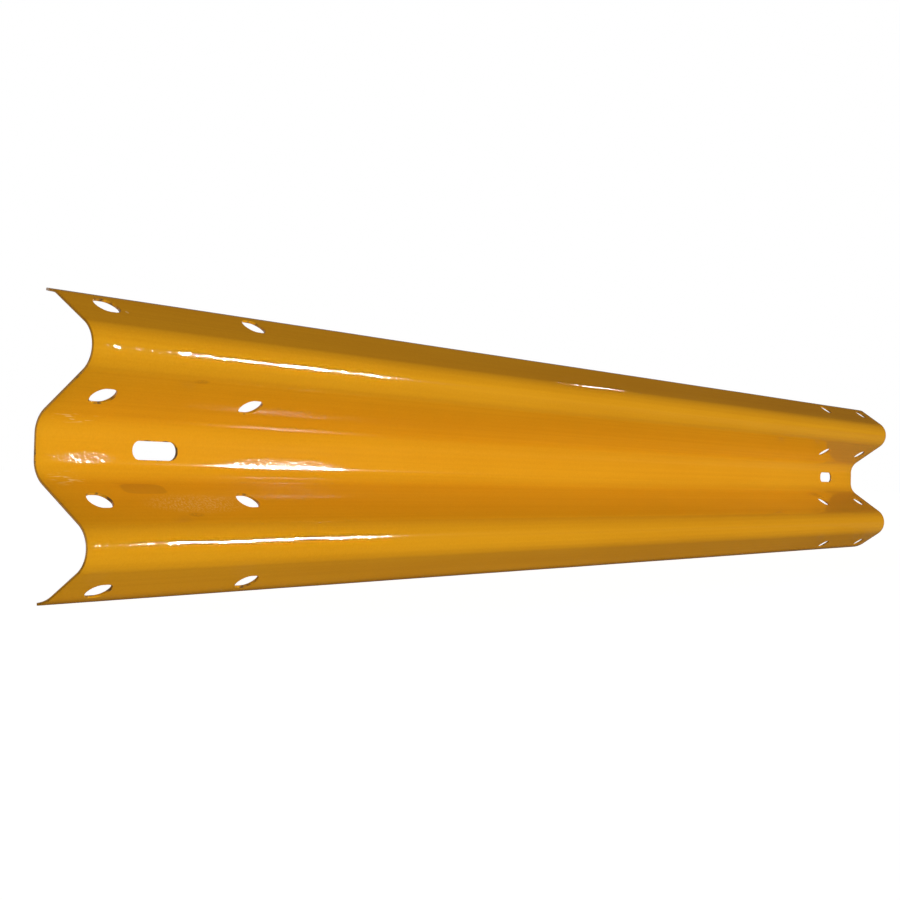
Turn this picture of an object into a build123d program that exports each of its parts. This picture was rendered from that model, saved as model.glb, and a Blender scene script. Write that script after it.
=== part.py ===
from build123d import *
import os
from math import atan, cos, degrees, radians, sin, sqrt, tan

# One rail panel of a two-wave (W-beam) highway guardrail: a single steel strip, roll-formed
# into a W section, with the bolt slots punched square to the sheet near both ends.
# X runs along the rail, +Y points back to the post, -Y faces the traffic and +Z is up.
# The origin is on the back of the middle trough, which bears on the post or its spacer,
# at the middle of the rail.

# Overall sizes, in millimetres
post_spacing = 2000.0
splice_lap = 320.0
rail_width = 310.0
rail_depth = 81.0
sheet = 3.0

# The rolled section
trough_flat = 24.0
wave_bend = 28.0
lip_length = 12.5
lip_angle = 10.0
lip_setback = 11.0
upper_lip_bend = 10.0

# The lower lip is one wide bend, down to this much flat at its edge
lower_lip_flat = 2.5

# The post bolt slot, in the middle of each lap
post_slot_length = 65.0
post_slot_width = 20.0

# The splice slots: two columns in each lap, one slot on each of the four flanks
splice_pitch = 216.0
splice_slot_length = 30.0
splice_slot_width = 24.0

# How far in front of the back face the splice slots sit, on the back of each flank
inner_slot_depth = 37.0
outer_slot_depth = 38.5

# The panel overlaps its neighbours by one lap, half of it at each end
rail_length = post_spacing + splice_lap


def corner_lines():
    """The section's sharp corners on the back of the sheet, above the middle, as (y, z).

    All four flanks lean alike. Their angle follows from the width and the depth: with
    u = tan(angle / 2), the half width is a sum of terms in u and 1 / u, and so u solves
    a quadratic equation.
    """
    back_depth = rail_depth - sheet
    trough_bend = wave_bend + sheet
    lean = radians(lip_angle)

    lip_end = (-lip_setback, rail_width / 2 - sheet * cos(lean))
    lip_corner = (lip_end[0] - lip_length * cos(lean), lip_end[1] - lip_length * sin(lean))

    span = lip_corner[1] - trough_flat / 2
    bends = trough_bend + 2 * wave_bend
    rise = back_depth + lip_corner[0] / 2
    u = 2 * rise / (span + sqrt(span**2 - 4 * (bends - rise) * rise))
    flank = 2 * atan(u)

    trough_corner = (0.0, trough_flat / 2 + trough_bend * u)
    apex = back_depth + wave_bend * (1 / cos(flank) - 1)
    crest_corner = (-apex, trough_corner[1] + apex / tan(flank))
    return [trough_corner, crest_corner, lip_corner, lip_end], flank


corners, flank_angle = corner_lines()
trough_corner, crest_corner, lip_corner, lip_end = corners

# The sheet turns this far from an outer flank into its lip
lip_turn = radians(90 - lip_angle) - flank_angle
lower_lip_bend = (lip_length - lower_lip_flat) / tan(lip_turn / 2)

# The middle of each lap, seen from the middle of the rail
lap_middles = [-post_spacing / 2, post_spacing / 2]
splice_columns = [x + side * splice_pitch / 2 for x in lap_middles for side in (-1, 1)]

# Centres of the splice slots on the back of the inner and outer flanks
inner_row = trough_corner[1] + inner_slot_depth / tan(flank_angle)
outer_row = crest_corner[1] + (-crest_corner[0] - outer_slot_depth) / tan(flank_angle)


def flank_plane(depth, row, leans_up):
    """The plane of one flank's back at a row of slots, with its normal to the traffic side."""
    rise = sin(flank_angle) if leans_up else -sin(flank_angle)
    return Plane(origin=(0, -depth, row), x_dir=(1, 0, 0), z_dir=(0, -cos(flank_angle), rise))


splice_planes = [
    flank_plane(outer_slot_depth, outer_row, True),
    flank_plane(inner_slot_depth, inner_row, False),
    flank_plane(inner_slot_depth, -inner_row, True),
    flank_plane(outer_slot_depth, -outer_row, False),
]

with BuildPart() as w_beam_rail:
    # The W section: the back of the sheet is drawn from lip to lip and thickened to the front
    with BuildSketch(Plane.YZ):
        with BuildLine():
            lower = [(y, -z) for y, z in reversed(corners)]
            waves = [wave_bend, wave_bend + sheet, wave_bend + sheet, wave_bend]
            FilletPolyline(*lower, *corners, radius=[lower_lip_bend, *waves, upper_lip_bend])
            offset(amount=sheet, side=Side.LEFT)
        make_face()
    extrude(amount=rail_length / 2, both=True)

    # One slot for the post bolt in the flat of the trough, at each end
    with BuildSketch(Plane.XZ):
        with Locations(*[(x, 0) for x in lap_middles]):
            SlotOverall(post_slot_length, post_slot_width)
    extrude(amount=2 * sheet, both=True, mode=Mode.SUBTRACT)

    # Eight splice slots at each end, punched square to the flanks
    for plane in splice_planes:
        with BuildSketch(plane):
            with Locations(*[(x, 0) for x in splice_columns]):
                SlotOverall(splice_slot_length, splice_slot_width)
        extrude(amount=2 * sheet, both=True, mode=Mode.SUBTRACT)

w_beam_rail.part.label = "w_beam_rail"

os.makedirs("parts", exist_ok=True)
export_step(w_beam_rail.part, "parts/w_beam_rail.step")

bounds = w_beam_rail.part.bounding_box()
print("box", bounds.min, bounds.max)
print("flank angle", round(degrees(flank_angle), 2))
print("solids", len(w_beam_rail.part.solids()), "volume", round(w_beam_rail.part.volume))
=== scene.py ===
from math import atan, ceil, cos, hypot, pi, radians, sin, sqrt, tan

import bpy
from mathutils import Matrix, Vector, noise


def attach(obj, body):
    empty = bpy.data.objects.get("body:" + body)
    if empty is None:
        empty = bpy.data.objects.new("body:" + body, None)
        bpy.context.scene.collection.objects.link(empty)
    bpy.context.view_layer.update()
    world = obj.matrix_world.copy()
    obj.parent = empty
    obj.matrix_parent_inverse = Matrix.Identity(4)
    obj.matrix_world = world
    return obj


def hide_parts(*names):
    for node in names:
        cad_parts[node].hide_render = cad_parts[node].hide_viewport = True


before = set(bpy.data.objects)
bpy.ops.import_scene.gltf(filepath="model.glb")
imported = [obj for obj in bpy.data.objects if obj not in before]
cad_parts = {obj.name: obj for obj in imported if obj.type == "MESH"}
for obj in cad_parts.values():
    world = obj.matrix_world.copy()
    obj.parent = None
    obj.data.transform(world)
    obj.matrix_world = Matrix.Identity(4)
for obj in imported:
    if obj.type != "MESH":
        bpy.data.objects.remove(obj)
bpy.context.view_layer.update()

# One rail panel of a two-wave guardrail in glossy orange-yellow paint, on a white floor.
# Sizes are in metres, in the part's frame: X along the rail, -Y to the traffic, Z up, and
# the origin on the back of the middle trough.

# The rail, at the CAD source's sizes
LENGTH = 2.320
WIDTH = 0.310
DEPTH = 0.081
SHEET = 0.003
TROUGH_FLAT = 0.024
WAVE_BEND = 0.028
LIP_LENGTH = 0.0125
LIP_LEAN = radians(10)
LIP_SETBACK = 0.011
UPPER_LIP_BEND = 0.010
LOWER_LIP_FLAT = 0.0025
POST_SPACING = 2.000
SPLICE_PITCH = 0.216
POST_SLOT = (0.065, 0.020)
SPLICE_SLOT = (0.030, 0.024)
INNER_SLOT_DEPTH = 0.037
OUTER_SLOT_DEPTH = 0.0385

# The mesh. Each slot lies in a block of even cells, given as half its reach along x, half its
# reach across and its cells along x. All blocks have the same number of cells across. TINY is
# less than the gap between any two rows.
ARC_STEP = radians(3.6)
COLUMN_STEP = 0.015
POST_BLOCK = (0.0375, 0.0112, 20)
SPLICE_BLOCK = (0.020, 0.0155, 16)
CELLS_ACROSS = 12
TINY = 1e-9

# The rounded rim of every cut edge, and the ring round a slot that keeps the sheet beside it flat
RIM = 0.0006
RIM_STEPS = 3
FLAT_RING = 1.6 * RIM

# The rolled sheet's long, shallow unevenness, in two layers of noise, each as its height, its
# waves to a metre along x and across, and a shift of its pattern
UNEVENNESS = [(0.00022, 2.6, 9.0, (0.0, 0.0, 3.1)), (0.00007, 9.0, 26.0, (7.7, 0.0, 0.0))]


# The section. It is walked along the middle of the sheet, and a place on it is given by its
# distance from the middle of the trough, positive towards the upper lip.
def section_sums():
    """The flanks' angle, the crest's height and the flanks' lengths, as in the CAD source."""
    lip_end = (-LIP_SETBACK, WIDTH / 2 - SHEET * cos(LIP_LEAN))
    lip_corner = (lip_end[0] - LIP_LENGTH * cos(LIP_LEAN), lip_end[1] - LIP_LENGTH * sin(LIP_LEAN))
    span = lip_corner[1] - TROUGH_FLAT / 2
    trough_bend = WAVE_BEND + SHEET
    bends = trough_bend + 2 * WAVE_BEND
    rise = DEPTH - SHEET + lip_corner[0] / 2
    u = 2 * rise / (span + sqrt(span**2 - 4 * (bends - rise) * rise))
    flank = 2 * atan(u)
    trough = (0.0, TROUGH_FLAT / 2 + trough_bend * u)
    apex = DEPTH - SHEET + WAVE_BEND * (1 / cos(flank) - 1)
    crest = (-apex, trough[1] + apex / tan(flank))
    inner = hypot(crest[0] - trough[0], crest[1] - trough[1]) - WAVE_BEND * tan(flank) - trough_bend * u
    outer = hypot(crest[0] - lip_corner[0], crest[1] - lip_corner[1]) - WAVE_BEND * tan(flank)
    return flank, crest[1], inner, outer


FLANK, CREST_Z, INNER, OUTER = section_sums()
LIP_TURN = pi / 2 - LIP_LEAN - FLANK
LOWER_LIP_BEND = (LIP_LENGTH - LOWER_LIP_FLAT) / tan(LIP_TURN / 2)
MID_BEND = WAVE_BEND + SHEET / 2


def half_path(lip_bend):
    """Bends and flats from the middle of the trough to the end of a lip, as (length, turn)."""
    tangent = lip_bend * tan(LIP_TURN / 2)
    return [
        (TROUGH_FLAT / 2, 0.0),
        (MID_BEND * FLANK, FLANK),
        (INNER, 0.0),
        (MID_BEND * 2 * FLANK, -2 * FLANK),
        (OUTER - tangent, 0.0),
        ((lip_bend + SHEET / 2) * LIP_TURN, -LIP_TURN),
        (LIP_LENGTH - tangent - RIM, 0.0),
    ]


UPPER_PATH = half_path(UPPER_LIP_BEND)
LOWER_PATH = half_path(LOWER_LIP_BEND)


def walk(path, distance):
    """The place (y, z) and the front normal (y, z) at a distance along a path."""
    y, z, heading = -SHEET / 2, 0.0, 0.0
    for k, (length, turn) in enumerate(path):
        last = k == len(path) - 1
        part = distance if last else min(distance, length)
        bend = turn * part / length
        chord = part * sin(bend / 2) / (bend / 2) if bend else part
        y -= chord * sin(heading + bend / 2)
        z += chord * cos(heading + bend / 2)
        heading += bend
        distance -= part
    return y, z, -cos(heading), -sin(heading)


def sheet_at(s):
    """The sheet's middle and its front normal at a place s on the section."""
    if s >= 0:
        return walk(UPPER_PATH, s)
    y, z, ny, nz = walk(LOWER_PATH, -s)
    return y, -z, ny, -nz


def slot_rows():
    """The middles of the slots in the inner and the outer flanks, as places on the section."""
    flat_end = TROUGH_FLAT / 2 + MID_BEND * FLANK
    depth = -sheet_at(flat_end)[0] - SHEET / 2 * cos(FLANK)
    inner = flat_end + (INNER_SLOT_DEPTH - depth) / sin(FLANK)
    crest_end = flat_end + INNER + MID_BEND * 2 * FLANK
    depth = -sheet_at(crest_end)[0] - SHEET / 2 * cos(FLANK)
    outer = crest_end + (depth - OUTER_SLOT_DEPTH) / sin(FLANK)
    return inner, outer


INNER_ROW, OUTER_ROW = slot_rows()


# The mesh's grid: rows across the section and columns along the rail
def half_rows(path):
    """Rows of the mesh on one half of the section, with even ones across every slot's block."""
    rows, total = [], 0.0
    for length, turn in path:
        steps = max(2, ceil(abs(turn) / ARC_STEP))
        rows += [total + length * k / steps for k in range(1, steps + 1)]
        total += length
    for middle, (_, half, _) in ((0.0, POST_BLOCK), (INNER_ROW, SPLICE_BLOCK), (OUTER_ROW, SPLICE_BLOCK)):
        cell = 2 * half / CELLS_ACROSS
        rows = [row for row in rows if abs(row - middle) > half + cell / 2]
        rows += [middle - half + cell * k for k in range(CELLS_ACROSS + 1)]
    return sorted(row for row in rows if row > TINY)


ROWS = [-row for row in reversed(half_rows(LOWER_PATH))] + [0.0] + half_rows(UPPER_PATH)


def build_columns():
    """X stations, even across every slot's block, and each block's first column and middle."""
    xs, placed = [-LENGTH / 2 + RIM], []

    def fill(end):
        """Even columns as far as the next block or the rail's end."""
        start = xs[-1]
        steps = max(2, ceil((end - start) / COLUMN_STEP))
        xs.extend([start + (end - start) * k / steps for k in range(1, steps + 1)])

    for lap in (-POST_SPACING / 2, POST_SPACING / 2):
        for side, block in ((-1, SPLICE_BLOCK), (0, POST_BLOCK), (1, SPLICE_BLOCK)):
            x = lap + side * SPLICE_PITCH / 2
            half, _, cells = block
            fill(x - half)
            placed.append((len(xs) - 1, x, block))
            xs.extend([x - half + 2 * half * k / cells for k in range(1, cells + 1)])
    fill(LENGTH / 2 - RIM)
    return xs, placed


COLUMNS, BLOCKS = build_columns()


def outline(left, low, right, top):
    """The grid's places round a part of it, each once."""
    return ([(i, low) for i in range(left, right)] + [(right, j) for j in range(low, top)]
            + [(i, top) for i in range(right, left, -1)] + [(left, j) for j in range(top, low, -1)])


class Slot:
    """A slot's middle and size, and its block's first column, first row and cells along x."""

    def __init__(self, column, x, middle, block, size):
        _, half, self.cells = block
        self.column, self.x, self.middle, self.size = column, x, middle, size
        self.row = min(range(len(ROWS)), key=lambda k: abs(ROWS[k] - (middle - half)))

    def places(self, first):
        """The block's places on the grid: its cells from 0 on, or its inner points from 1 on."""
        return {(self.column + i, self.row + j)
                for i in range(first, self.cells) for j in range(first, CELLS_ACROSS)}

    def loop(self):
        """The places round the block."""
        return outline(self.column, self.row, self.column + self.cells, self.row + CELLS_ACROSS)


def slot_edge(direction, size):
    """Where a ray from a slot's middle meets its edge, and the edge's outward normal."""
    dx, ds = direction
    half, radius = size[0] / 2 - size[1] / 2, size[1] / 2
    if abs(dx) * radius <= half * abs(ds):
        k = radius / abs(ds)
        return (dx * k, ds * k), (0.0, 1.0 if ds > 0 else -1.0)
    side = 1.0 if dx > 0 else -1.0
    a = dx * dx + ds * ds
    b = -side * half * dx
    k = (-b + sqrt(b * b - a * (half * half - radius * radius))) / a
    return (dx * k, ds * k), ((dx * k - side * half) / radius, ds * k / radius)


def stand_off(x, y, z):
    """How far the rolled sheet stands off its true section."""
    lift = 0.0
    for height, along, across, (sx, sy, sz) in UNEVENNESS:
        lift += height * noise.noise(Vector((x * along + sx, y * across + sy, z * across + sz)))
    return lift


def rim_path():
    """The rounded rim's section from front to back, as (way out from the flat, offset)."""
    angles = [pi / 2 * k / RIM_STEPS for k in range(1, RIM_STEPS + 1)]
    front = [(RIM * sin(a), SHEET / 2 - RIM + RIM * cos(a)) for a in angles]
    return front + [(out, -offset) for out, offset in reversed(front)]


class RailMesh:
    """The rail's points and faces, and which faces are slot walls or the sheared outer edge."""

    def __init__(self):
        self.points, self.faces = [], []
        self.front, self.back = {}, {}
        self.walls, self.sheared = set(), set()

    def point(self, x, row, offset):
        """A new point at a place on the section, offset from the sheet's middle to the front."""
        y, z, ny, nz = sheet_at(row)
        lift = offset + stand_off(x, y, z)
        self.points.append((x, y + ny * lift, z + nz * lift))
        return len(self.points) - 1

    def stitch(self, outer, inner, flip=False, noted=None):
        """Quads between two closed loops of equal length, noted in a set where one is given."""
        count = len(outer)
        if noted is not None:
            noted.update(range(len(self.faces), len(self.faces) + count))
        for k in range(count):
            after = (k + 1) % count
            quad = [outer[k], outer[after], inner[after], inner[k]]
            self.faces.append(quad[::-1] if flip else quad)

    def add_sheet(self, slots):
        """The front and the back of the sheet, left open at every slot's block."""
        hidden = set().union(*(slot.places(0) for slot in slots))
        inside = set().union(*(slot.places(1) for slot in slots))
        for side, offset in ((self.front, SHEET / 2), (self.back, -SHEET / 2)):
            for i, x in enumerate(COLUMNS):
                for j, row in enumerate(ROWS):
                    if (i, j) not in inside:
                        side[i, j] = self.point(x, row, offset)
        for i in range(len(COLUMNS) - 1):
            for j in range(len(ROWS) - 1):
                if (i, j) in hidden:
                    continue
                corners = [(i, j), (i + 1, j), (i + 1, j + 1), (i, j + 1)]
                self.faces.append([self.front[c] for c in corners])
                self.faces.append([self.back[c] for c in reversed(corners)])

    def add_slot(self, slot):
        """The sheet between a slot and its block's outline, and the slot's wall and rims."""
        loop = slot.loop()
        edge = [slot_edge((COLUMNS[i] - slot.x, ROWS[j] - slot.middle), slot.size) for i, j in loop]

        def ring(grow, offset):
            return [self.point(slot.x + px + nx * grow, slot.middle + ps + ns * grow, offset)
                    for (px, ps), (nx, ns) in edge]

        last = ring(FLAT_RING, SHEET / 2)
        self.stitch([self.front[c] for c in loop], last)
        for out, offset in [(0.0, SHEET / 2)] + rim_path():
            following = ring(RIM - out, offset)
            self.stitch(last, following, noted=self.walls)
            last = following
        following = ring(FLAT_RING, -SHEET / 2)
        self.stitch(last, following)
        self.stitch(following, [self.back[c] for c in loop])

    def add_outer_edge(self):
        """The rail's own edge, all round."""
        right, top = len(COLUMNS) - 1, len(ROWS) - 1
        loop = outline(0, 0, right, top)
        last = [self.front[c] for c in loop]
        for out, offset in rim_path()[:-1]:
            following = [self.point(COLUMNS[i] + out * ((i == right) - (i == 0)),
                                    ROWS[j] + out * ((j == top) - (j == 0)), offset) for i, j in loop]
            self.stitch(last, following, flip=True, noted=self.sheared)
            last = following
        self.stitch(last, [self.back[c] for c in loop], flip=True, noted=self.sheared)

    def material_of(self, face):
        """The rail's materials in order: its paint, the slots' walls and the sheared edge."""
        return 1 if face in self.walls else 2 if face in self.sheared else 0


def build_rail():
    """The rail as one object, with its faces sorted by material."""
    slots = []
    for column, x, block in BLOCKS:
        if block is POST_BLOCK:
            slots.append(Slot(column, x, 0.0, block, POST_SLOT))
        else:
            for middle in (INNER_ROW, OUTER_ROW, -INNER_ROW, -OUTER_ROW):
                slots.append(Slot(column, x, middle, block, SPLICE_SLOT))
    built = RailMesh()
    built.add_sheet(slots)
    for slot in slots:
        built.add_slot(slot)
    built.add_outer_edge()

    mesh = bpy.data.meshes.new("rail_sheet")
    mesh.from_pydata(built.points, [], built.faces)
    for polygon in mesh.polygons:
        polygon.use_smooth = True
        polygon.material_index = built.material_of(polygon.index)
    rail = bpy.data.objects.new("rail_sheet", mesh)
    bpy.context.scene.collection.objects.link(rail)
    return rail


rail = build_rail()
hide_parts("w_beam_rail")
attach(rail, "root")


# Materials
class Nodes:
    """Short forms for making and joining shader nodes."""

    def __init__(self, name):
        self.material = bpy.data.materials.new(name)
        self.material.use_nodes = True
        self.start(self.material.node_tree)

    @classmethod
    def of_tree(cls, tree):
        made = cls.__new__(cls)
        made.start(tree)
        return made

    def start(self, tree):
        self.nodes, self.links = tree.nodes, tree.links
        self.nodes.clear()

    def add(self, kind, inputs=None, **settings):
        """A new node; an input is joined where it is given a socket and set where it is a value."""
        node = self.nodes.new(kind)
        for key, value in settings.items():
            setattr(node, key, value)
        for key, value in (inputs or {}).items():
            if isinstance(value, bpy.types.NodeSocket):
                self.links.new(value, node.inputs[key])
            else:
                node.inputs[key].default_value = value
        return node

    def math(self, operation, a, b=0.0, clamp=False):
        node = self.add("ShaderNodeMath", {0: a, 1: b}, operation=operation, use_clamp=clamp)
        return node.outputs[0]

    def total(self, values):
        """The sum of several sockets."""
        result = values[0]
        for value in values[1:]:
            result = self.math("ADD", result, value)
        return result

    def ramp(self, value, low, high, to_low=0.0, to_high=1.0):
        node = self.add("ShaderNodeMapRange", {"Value": value, "From Min": low, "From Max": high,
                                               "To Min": to_low, "To Max": to_high})
        return node.outputs[0]

    def mix(self, factor, a, b):
        node = self.add("ShaderNodeMix", {0: factor, 6: a, 7: b}, data_type="RGBA")
        return node.outputs[2]


# Marks on the rail, each as its middle and its reach along (x, z). The first two smudges and the speck
# are the paint's own. The rest are painted light: a darker patch is a painted reflection of the near post
# slot, the last smudge is a painted reflection of a far slot, a paler patch is a painted reflection of a
# glint's flare, and pale dashes are painted glints on the trough's bends.
COARSE_PEEL = [((-0.790, -0.0115), (0.130, 0.0095)), ((-1.100, -0.0090), (0.055, 0.0075))]
PAINTED_SLOT_REFLECTION = ((-1.034, -0.0402), (0.032, 0.0050))
SMUDGES_AND_SLOT_REFLECTION = [((-0.993, -0.0659), (0.013, 0.0026)), ((-1.000, 0.0724), (0.013, 0.0026)),
           ((0.899, -0.0397), (0.030, 0.0050))]
PAINTED_FLARE_REFLECTION = ((-0.975, -0.0547), (0.085, 0.0105))
PAINTED_GLINT_DASHES = [((-1.118, 0.0305), (0.032, 0.0060)), ((-1.127, -0.0310), (0.026, 0.0085))]
PAINT_SPECK = ((-1.0875, 0.1369), (0.0024, 0.0014))

# How fully a mark covers the paint
SLOT_REFLECTION_COVER = 0.36
SMUDGE_AND_REFLECTION_COVER = 0.55
FLARE_REFLECTION_COVER = 0.55
GLINT_DASH_COVER = 0.85

# The coarse peel on the crests: how far from a crest's line, and where along x, it starts and is full
CREST_REACH = (0.026, 0.018)
CREST_END = (-0.58, -0.76)

# Patterns in the paint, each as its waves to a metre along x and across, its octaves and their
# roughness
CLOUDS = (2.0, 9.0, 3.0, 0.5)
ROLL_LINES = (0.8, 240.0, 2.0, 0.5)
GRAIN = (420.0, 420.0, 2.0, 0.6)
DASHES = (70.0, 600.0, 1.0, 0.5)
WEAR = (110.0, 110.0, 2.0, 0.6)
DULLNESS = (35.0, 35.0, 3.0, 0.6)

# How much of the paint's tone comes from the clouds, the lines and the grain, and what it spans
TONE_SHARES = (0.4, 0.3, 0.3)
TONE_SPAN = (0.40, 0.60)

# Layers of the clear top's unevenness, each as a pattern and its height in millimetres
FINE_PEEL = ((520.0, 520.0, 1.0, 0.5), 0.030)
RIPPLE = ((190.0, 190.0, 1.0, 0.5), 0.080)
DRAWN_LINES = ((1.2, 330.0, 3.0, 0.65), 0.060)
CREST_PEEL = ((110.0, 80.0, 2.0, 0.6), 0.64)
PATCH_PEEL = ((300.0, 230.0, 2.0, 0.6), 0.50)
MILLIMETRE = 0.0010

# The paint's colours. The smudge brown also darkens the painted slot reflections, and the pale one
# lights the painted flare reflection and the painted glint dashes as well as the speck.
PAINT_LOW = (0.740, 0.328, 0.0080, 1.0)
PAINT_HIGH = (0.800, 0.372, 0.0110, 1.0)
PAINT_PALE = (0.900, 0.560, 0.160, 1.0)
SMUDGE_AND_REFLECTION_BROWN = (0.420, 0.175, 0.0150, 1.0)
BARE_BROWN = (0.150, 0.085, 0.0350, 1.0)

# The paint's roughness over its dullness pattern's span, that of its clear top, and what the coarse
# patches add to the clear top's
DULL_SPAN = (0.3, 0.7)
PAINT_ROUGHNESS = (0.30, 0.38)
CLEAR_ROUGHNESS = 0.05
PATCH_ROUGHNESS = 0.08
CLEAR_IOR = 1.5

# Where the wear pattern bares the metal, and how much lower it starts on a fully worn edge
BARE_SPAN = (0.66, 0.86)
WORN_DROP = 0.3


class Place:
    """A shading point's place on the rail, with patterns and marks that are given by it."""

    def __init__(self, m):
        self.m = m
        self.point = m.add("ShaderNodeTexCoord").outputs["Object"]
        apart = m.add("ShaderNodeSeparateXYZ", {0: self.point})
        self.x, self.z = apart.outputs["X"], apart.outputs["Z"]

    def pattern(self, along, across, octaves, roughness):
        """Noise from 0 to 1 with its own scale along the rail and across it."""
        scale = (along, across, across)
        point = self.m.add("ShaderNodeMapping", {"Vector": self.point, "Scale": scale}).outputs[0]
        node = self.m.add("ShaderNodeTexNoise", {"Vector": point, "Scale": 1.0, "Detail": octaves,
                                                 "Roughness": roughness})
        return node.outputs["Fac"]

    def mark(self, centre, reach, power=2.0, edge=1.0):
        """1 inside a mark and 0 outside; a higher power squares it off and a lower edge hardens it."""
        m = self.m
        shares = []
        for value, middle, size in zip((self.x, self.z), centre, reach):
            share = m.math("ABSOLUTE", m.math("DIVIDE", m.math("SUBTRACT", value, middle), size))
            shares.append(m.math("POWER", share, power))
        return m.ramp(m.total(shares), 1.0, 1.0 - edge)

    def marks(self, all_marks, edge):
        """1 inside any of several marks and 0 outside."""
        total = 0.0
        for centre, reach in all_marks:
            total = self.m.math("MAXIMUM", total, self.mark(centre, reach, edge=edge))
        return total

    def crests(self):
        """1 on the two crests towards the near end, where the outer bends stretch the paint."""
        m = self.m
        off = m.math("ABSOLUTE", m.math("SUBTRACT", m.math("ABSOLUTE", self.z), CREST_Z))
        return m.math("MULTIPLY", m.ramp(off, *CREST_REACH), m.ramp(self.x, *CREST_END))


def paint_colour(m, place):
    """Orange-yellow, a little uneven, with faint lines from the rolls and a few marks: smudges and a
    speck, and painted reflections and painted glints.
    """
    grain = place.pattern(*GRAIN)
    parts = (place.pattern(*CLOUDS), place.pattern(*ROLL_LINES), grain)
    tone = m.total([m.math("MULTIPLY", part, share) for part, share in zip(parts, TONE_SHARES)])
    base = m.mix(m.ramp(tone, *TONE_SPAN), PAINT_LOW, PAINT_HIGH)

    def covered(mark, cover, colour, broken_by=None, span=(0.0, 1.0)):
        """The paint so far with a mark on it, which a pattern can break up."""
        if broken_by is not None:
            mark = m.math("MULTIPLY", mark, m.ramp(broken_by, *span))
        return m.mix(m.math("MULTIPLY", mark, cover), base, colour)

    # Painted reflection: a darker patch below the near post slot, where the clear top would mirror the
    # slot
    base = covered(place.mark(*PAINTED_SLOT_REFLECTION, power=4.0, edge=0.35), SLOT_REFLECTION_COVER, SMUDGE_AND_REFLECTION_BROWN)
    # The first two smudges are the paint's own; the last, at the far end, is a painted reflection of a
    # slot
    base = covered(place.marks(SMUDGES_AND_SLOT_REFLECTION, edge=0.9), SMUDGE_AND_REFLECTION_COVER, SMUDGE_AND_REFLECTION_BROWN,
                   broken_by=grain, span=(0.35, 0.60))
    # Painted reflection: a paler, broken patch on the lower inner flank that stands in for a glint's
    # mirrored flare
    base = covered(place.mark(*PAINTED_FLARE_REFLECTION, edge=0.9), FLARE_REFLECTION_COVER, PAINT_PALE,
                   broken_by=grain, span=(0.45, 0.65))
    # Painted highlight: pale broken dashes on the trough's bends near the near end that stand in for
    # glints
    base = covered(place.marks(PAINTED_GLINT_DASHES, edge=0.8), GLINT_DASH_COVER, PAINT_PALE,
                   broken_by=place.pattern(*DASHES), span=(0.56, 0.66))
    return covered(place.mark(*PAINT_SPECK, edge=0.5), 1.0, PAINT_PALE)


def clear_top(m, place):
    """The normal and the roughness of the clear top: fine orange peel, coarser on the crests
    and in two patches."""
    crests = place.crests()
    patches = place.marks(COARSE_PEEL, edge=1.0)

    def layer(pattern, height):
        """One layer of the unevenness, about its middle."""
        return m.math("MULTIPLY", m.math("SUBTRACT", place.pattern(*pattern), 0.5), height)

    height = m.total([layer(*FINE_PEEL), layer(*RIPPLE), layer(*DRAWN_LINES),
                      m.math("MULTIPLY", layer(*CREST_PEEL), crests),
                      m.math("MULTIPLY", layer(*PATCH_PEEL), patches)])
    bump = m.add("ShaderNodeBump", {"Height": height, "Strength": 1.0, "Distance": MILLIMETRE})
    rough = m.math("ADD", m.math("MULTIPLY", patches, PATCH_ROUGHNESS), CLEAR_ROUGHNESS)
    return bump.outputs[0], rough


def paint_material(name, worn=0.0):
    """Glossy paint; on cut edges a share of it is worn to brown."""
    m = Nodes(name)
    place = Place(m)
    base = paint_colour(m, place)
    if worn:
        low, high = (edge - WORN_DROP * worn for edge in BARE_SPAN)
        base = m.mix(m.ramp(place.pattern(*WEAR), low, high), base, BARE_BROWN)
    rough = m.ramp(place.pattern(*DULLNESS), *DULL_SPAN, *PAINT_ROUGHNESS)
    normal, clear_rough = clear_top(m, place)
    shader = m.add("ShaderNodeBsdfPrincipled", {
        "Base Color": base, "Roughness": rough, "Specular IOR Level": 0.0, "Coat Weight": 1.0,
        "Coat Roughness": clear_rough, "Coat IOR": CLEAR_IOR, "Coat Normal": normal})
    m.add("ShaderNodeOutputMaterial", {"Surface": shader.outputs[0]})
    return m.material


rail.data.materials.append(paint_material("rail_paint"))
rail.data.materials.append(paint_material("slot_wall_paint", worn=0.6))
rail.data.materials.append(paint_material("sheared_edge_paint", worn=0.2))


# The floor and the world
WHITE = (1.0, 1.0, 1.0, 1.0)
BLACK = (0.0, 0.0, 0.0, 1.0)
FLOOR_GAP = 0.0002
FLOOR_SIZE = 60.0
FLOOR_GREY = (0.30, 0.30, 0.30, 1.0)
FLOOR_GLOW = 0.97
ROOM_LIGHT = (0.085, 0.043, 0.018)
BACKDROP_RISE = 1.3
BACKDROP_EDGE = 0.08
BACKDROP_GREY = (0.15, 0.14, 0.13, 1.0)

# Where the ground turns white for gloss, by how far it lies behind the rail, and the same for the
# world, by a ray's way back and its way up
WHITE_GROUND = (0.3, 0.6)
WAY_BACK = (0.05, 0.15)
WAY_UP = (0.06, 0.02)


def shown_white(m, behind):
    """1 where the camera looks, and for gloss and glass where the ground lies behind the rail."""
    path = m.add("ShaderNodeLightPath")
    gloss = m.math("ADD", path.outputs["Is Glossy Ray"], path.outputs["Is Transmission Ray"], clamp=True)
    gloss = m.math("MULTIPLY", gloss, behind)
    return m.math("ADD", path.outputs["Is Camera Ray"], gloss, clamp=True)


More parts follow.
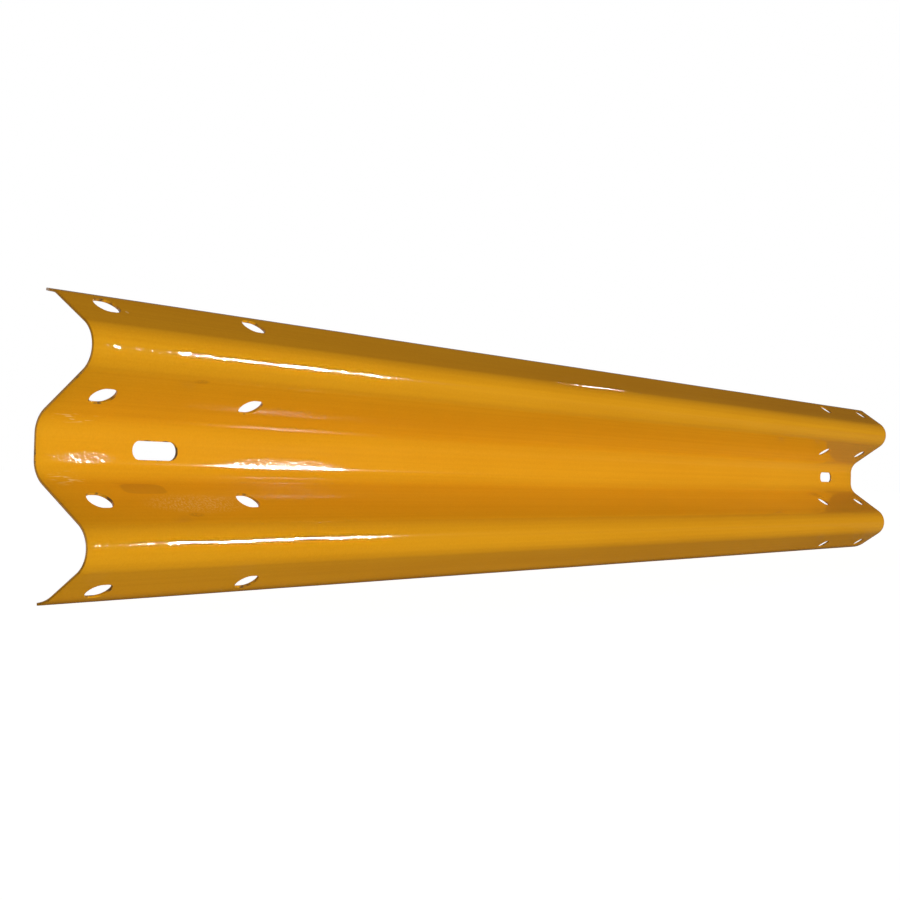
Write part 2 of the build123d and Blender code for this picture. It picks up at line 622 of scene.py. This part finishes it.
def build_floor():
    """A floor that the camera sees as white, though it lights the rail only as grey does."""
    mesh = bpy.data.meshes.new("floor")
    half, z = FLOOR_SIZE / 2, -WIDTH / 2 - FLOOR_GAP
    corners = [(-half, -half, z), (half, -half, z), (half, half, z), (-half, half, z)]
    mesh.from_pydata(corners, [], [(0, 1, 2, 3)])
    floor = bpy.data.objects.new("floor", mesh)
    bpy.context.scene.collection.objects.link(floor)
    floor.visible_shadow = False

    m = Nodes("floor_white")
    place = m.add("ShaderNodeSeparateXYZ", {0: m.add("ShaderNodeTexCoord").outputs["Object"]})
    white = shown_white(m, m.ramp(place.outputs["Y"], *WHITE_GROUND))
    diffuse = m.add("ShaderNodeBsdfDiffuse", {"Color": FLOOR_GREY})
    glow = m.add("ShaderNodeEmission", {"Color": WHITE, "Strength": m.math("MULTIPLY", white, FLOOR_GLOW)})
    both = m.add("ShaderNodeAddShader", {0: diffuse.outputs[0], 1: glow.outputs[0]})
    m.add("ShaderNodeOutputMaterial", {"Surface": both.outputs[0]})
    mesh.materials.append(m.material)
    return floor


build_floor()


def build_world():
    """White where the camera looks and low behind the rail; elsewhere a dim, warm room."""
    world = bpy.data.worlds.new("studio")
    bpy.context.scene.world = world
    world.use_nodes = True
    m = Nodes.of_tree(world.node_tree)
    ray = m.add("ShaderNodeSeparateXYZ", {0: m.add("ShaderNodeTexCoord").outputs["Generated"]})
    back = m.ramp(ray.outputs["Y"], *WAY_BACK)

    # A grey backdrop stands behind the rail, a little taller than it is far
    below_top = m.math("SUBTRACT", m.math("MULTIPLY", ray.outputs["Y"], BACKDROP_RISE), ray.outputs["Z"])
    backdrop = m.math("MULTIPLY", back, m.ramp(below_top, 0.0, BACKDROP_EDGE))
    backdrop = m.mix(backdrop, BLACK, BACKDROP_GREY)
    room = m.add("ShaderNodeVectorMath", {0: ROOM_LIGHT, 1: backdrop}, operation="MAXIMUM").outputs[0]

    white = shown_white(m, m.math("MULTIPLY", back, m.ramp(ray.outputs["Z"], *WAY_UP)))
    light = m.add("ShaderNodeBackground", {"Color": m.mix(white, room, WHITE), "Strength": 1.0})
    m.add("ShaderNodeOutputWorld", {"Surface": light.outputs[0]})


build_world()

# Lamps, each as its azimuth from -Y towards +X, its elevation and its width, in degrees, and its
# strength. The narrow ones make crisp glints, and the wide ones soften the shadows.
LAMPS = {
    "key": (49.3, 6.2, 0.9, 1.55),
    "fill": (-18.0, -11.0, 18.0, 1.87),
    "back": (195.0, 24.0, 50.0, 0.6),
    "glint": (98.0, 28.0, 0.9, 0.012),
}


def far_lamp(name, azimuth, elevation, width, strength):
    """A lamp a long way off, so that the whole rail gets the same light."""
    lamp = bpy.data.lights.new(name, "SUN")
    lamp.energy, lamp.angle = strength, radians(width)
    obj = bpy.data.objects.new(name, lamp)
    bpy.context.scene.collection.objects.link(obj)
    a, e = radians(azimuth), radians(elevation)
    way = Vector((sin(a) * cos(e), -cos(a) * cos(e), sin(e)))
    obj.rotation_mode = "QUATERNION"
    obj.rotation_quaternion = (-way).to_track_quat("-Z", "Y")


for name, values in LAMPS.items():
    far_lamp(name, *values)

# The camera, from a fit to the photograph's outline and slots
CAMERA_PLACE = (-2.1247, -1.1560, -0.0196)
CAMERA_YAW = radians(55.515)
CAMERA_PITCH = radians(1.033)
CAMERA_ROLL = radians(1.432)
FOCAL_PIXELS = 1484.0
IMAGE_PIXELS = 900
SENSOR = 36.0


def build_camera():
    """A camera with square pixels, turned by its yaw, then its pitch and its roll."""
    level = Vector((cos(CAMERA_YAW), -sin(CAMERA_YAW), 0.0))
    ahead = Vector((sin(CAMERA_YAW) * cos(CAMERA_PITCH), cos(CAMERA_YAW) * cos(CAMERA_PITCH),
                    sin(CAMERA_PITCH)))
    above = level.cross(ahead)
    right = level * cos(CAMERA_ROLL) + above * sin(CAMERA_ROLL)
    up = above * cos(CAMERA_ROLL) - level * sin(CAMERA_ROLL)
    data = bpy.data.cameras.new("camera")
    data.sensor_width = SENSOR
    data.lens = FOCAL_PIXELS / IMAGE_PIXELS * SENSOR
    camera = bpy.data.objects.new("camera", data)
    bpy.context.scene.collection.objects.link(camera)
    turned = Matrix((right, up, -ahead)).transposed().to_4x4()
    camera.matrix_world = Matrix.Translation(CAMERA_PLACE) @ turned
    bpy.context.scene.camera = camera


build_camera()
bpy.context.scene.view_settings.view_transform = "Standard"
